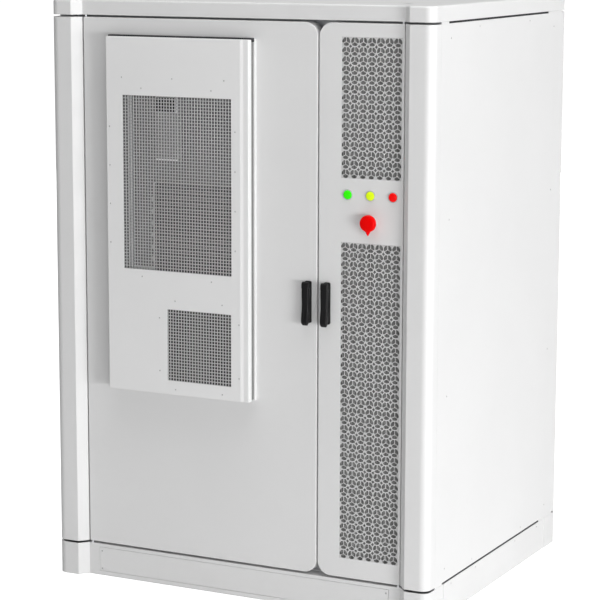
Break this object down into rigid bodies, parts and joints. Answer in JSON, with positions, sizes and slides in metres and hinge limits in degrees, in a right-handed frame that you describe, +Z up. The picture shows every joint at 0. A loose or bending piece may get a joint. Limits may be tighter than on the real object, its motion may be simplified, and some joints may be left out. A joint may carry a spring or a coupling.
{
  "type": "battery cabinet",
  "caption": "Floor-standing outdoor battery energy storage cabinet with two doors, a door-mounted air conditioner, vent fields, indicator lamps, an emergency stop and swing handles.",
  "frame": {"origin": "centre of the rectangle of floor anchor holes, on the floor", "axes": "+Z up, -Y out of the doors, +X to the right seen from the front"},
  "size_m": [1.55, 1.34, 2.2],
  "materials": {
    "cabinet_paint": "satin powder coat",
    "plinth_paint": "satin powder coat",
    "ac_paint": "satin powder coat",
    "frame_steel": "zinc-plated steel",
    "screw_steel": "satin stainless",
    "zinc_steel": "zinc plated",
    "black_handle": "black powder-coated zinc die-cast",
    "seal_rubber": "foamed rubber",
    "coil_fins": "dark coated fins",
    "wire_mesh": "grey coated wire",
    "vent_paint": "satin powder coat",
    "filter_media": "grey filter fleece",
    "bezel_grey": "light grey moulding",
    "lens_green": "translucent green lens",
    "lens_yellow": "translucent yellow lens",
    "lens_red": "translucent red lens",
    "estop_red": "red moulding",
    "fan_plastic": "black glass-filled moulding",
    "pack_paint": "dark grey powder coat",
    "pack_front_paint": "black powder coat",
    "black_plastic": "black moulding",
    "connector_orange": "orange moulding",
    "equipment_paint": "textured powder coat",
    "knob_red": "red moulding",
    "cylinder_red": "gloss red paint",
    "gland_plastic": "black nylon"
  },
  "bodies": {
    "root": {"battery_packs": "pack_paint", "cable_glands": "gland_plastic", "ceiling_panel": "frame_steel", "control_box": "equipment_paint", "corner_posts": "zinc_steel", "door_frame": "cabinet_paint", "fire_cylinder": "cylinder_red", "floor_pan": "frame_steel", "frame_rails": "zinc_steel", "front_pillars": "cabinet_paint", "gland_plate": "frame_steel", "hinge_pins": "zinc_steel", "inverter_module": "equipment_paint", "isolator_body": "black_plastic", "lifting_inserts": "zinc_steel", "pack_connectors": "connector_orange", "pack_front_plates": "pack_front_paint", "pack_handles": "black_plastic", "panel_screws": "screw_steel", "partition_wall": "frame_steel", "plinth_covers": "plinth_paint", "plinth_frame": "plinth_paint", "rack_posts": "zinc_steel", "rack_shelves": "frame_steel", "rear_panel": "cabinet_paint", "rear_pillars": "cabinet_paint", "roof_cover": "cabinet_paint", "side_panels": "cabinet_paint"},
    "left_door": {"left_door_skin": "cabinet_paint", "left_door_gasket": "seal_rubber", "left_lock_case": "frame_steel", "ac_housing": "ac_paint", "ac_condenser_coil": "coil_fins", "ac_front_cover": "ac_paint", "ac_cover_screws": "screw_steel", "ac_mesh_panels": "wire_mesh", "left_handle_base": "black_handle"},
    "condenser_fan": {"ac_condenser_fan": "fan_plastic"},
    "evaporator_blower": {"ac_blower": "fan_plastic"},
    "left_spindle": {"left_lock_gear": "zinc_steel"},
    "left_lever": {"left_handle_lever": "black_handle"},
    "left_upper_bar": {"left_rod_upper": "zinc_steel"},
    "left_lower_bar": {"left_rod_lower": "zinc_steel"},
    "right_door": {"right_door_skin": "cabinet_paint", "right_door_gasket": "seal_rubber", "right_lock_case": "frame_steel", "vent_panels": "vent_paint", "vent_filters": "filter_media", "indicator_bezels": "bezel_grey", "lamp_lens_green": "lens_green", "lamp_lens_yellow": "lens_yellow", "lamp_lens_red": "lens_red", "right_handle_base": "black_handle"},
    "right_spindle": {"right_lock_gear": "zinc_steel"},
    "right_lever": {"right_handle_lever": "black_handle"},
    "right_upper_bar": {"right_rod_upper": "zinc_steel"},
    "right_lower_bar": {"right_rod_lower": "zinc_steel"},
    "stop_stem": {"estop_stem": "black_plastic"},
    "stop_head": {"estop_head": "estop_red"},
    "isolator_handle": {"isolator_knob": "knob_red"}
  },
  "joints": [
    {"name": "left_door_hinge", "type": "hinge", "parent": "root", "child": "left_door", "pos_m": [-0.644, -0.6145, 0], "axis": [0, 0, -1], "range_deg": [0, 110]},
    {"name": "right_door_hinge", "type": "hinge", "parent": "root", "child": "right_door", "pos_m": [0.644, -0.6145, 0], "axis": [0, 0, 1], "range_deg": [0, 95]},
    {"name": "left_handle_turn", "type": "hinge", "parent": "left_door", "child": "left_spindle", "pos_m": [0.283, -0.6, 1.203], "axis": [0, 1, 0], "range_deg": [0, 90]},
    {"name": "left_handle_lift", "type": "hinge", "parent": "left_spindle", "child": "left_lever", "pos_m": [0.283, -0.641, 1.203], "axis": [-1, 0, 0], "range_deg": [0, 45]},
    {"name": "left_upper_bar_slide", "type": "slide", "parent": "left_door", "child": "left_upper_bar", "axis": [0, 0, -1], "range_m": [0, 0.0236]},
    {"name": "left_lower_bar_slide", "type": "slide", "parent": "left_door", "child": "left_lower_bar", "axis": [0, 0, 1], "range_m": [0, 0.0236]},
    {"name": "right_handle_turn", "type": "hinge", "parent": "right_door", "child": "right_spindle", "pos_m": [0.358, -0.6, 1.203], "axis": [0, -1, 0], "range_deg": [0, 90]},
    {"name": "right_handle_lift", "type": "hinge", "parent": "right_spindle", "child": "right_lever", "pos_m": [0.358, -0.641, 1.203], "axis": [-1, 0, 0], "range_deg": [0, 45]},
    {"name": "right_upper_bar_slide", "type": "slide", "parent": "right_door", "child": "right_upper_bar", "axis": [0, 0, -1], "range_m": [0, 0.0236]},
    {"name": "right_lower_bar_slide", "type": "slide", "parent": "right_door", "child": "right_lower_bar", "axis": [0, 0, 1], "range_m": [0, 0.0236]},
    {"name": "condenser_fan_spin", "type": "hinge", "parent": "left_door", "child": "condenser_fan", "pos_m": [-0.148, -0.556, 1.357], "axis": [0, 1, 0], "continuous": true},
    {"name": "evaporator_blower_spin", "type": "hinge", "parent": "left_door", "child": "evaporator_blower", "pos_m": [-0.222, -0.425, 1.7], "axis": [1, 0, 0], "continuous": true},
    {"name": "emergency_stop_press", "type": "slide", "parent": "right_door", "child": "stop_stem", "axis": [0, 1, 0], "range_m": [0, 0.004], "stiffness_N_per_m": 1500},
    {"name": "emergency_stop_twist", "type": "hinge", "parent": "stop_stem", "child": "stop_head", "pos_m": [0.527, -0.645, 1.438], "axis": [0, 1, 0], "range_deg": [0, 40], "stiffness_Nm_per_rad": 0.6},
    {"name": "isolator_turn", "type": "hinge", "parent": "root", "child": "isolator_handle", "pos_m": [0.505, -0.3, 1.07], "axis": [0, 1, 0], "range_deg": [0, 90]}
  ],
  "couplings": [
    {"joint": "left_upper_bar_slide", "follows": "left_handle_turn", "m_per_rad": 0.015},
    {"joint": "left_lower_bar_slide", "follows": "left_handle_turn", "m_per_rad": 0.015},
    {"joint": "right_upper_bar_slide", "follows": "right_handle_turn", "m_per_rad": 0.015},
    {"joint": "right_lower_bar_slide", "follows": "right_handle_turn", "m_per_rad": 0.015}
  ]
}
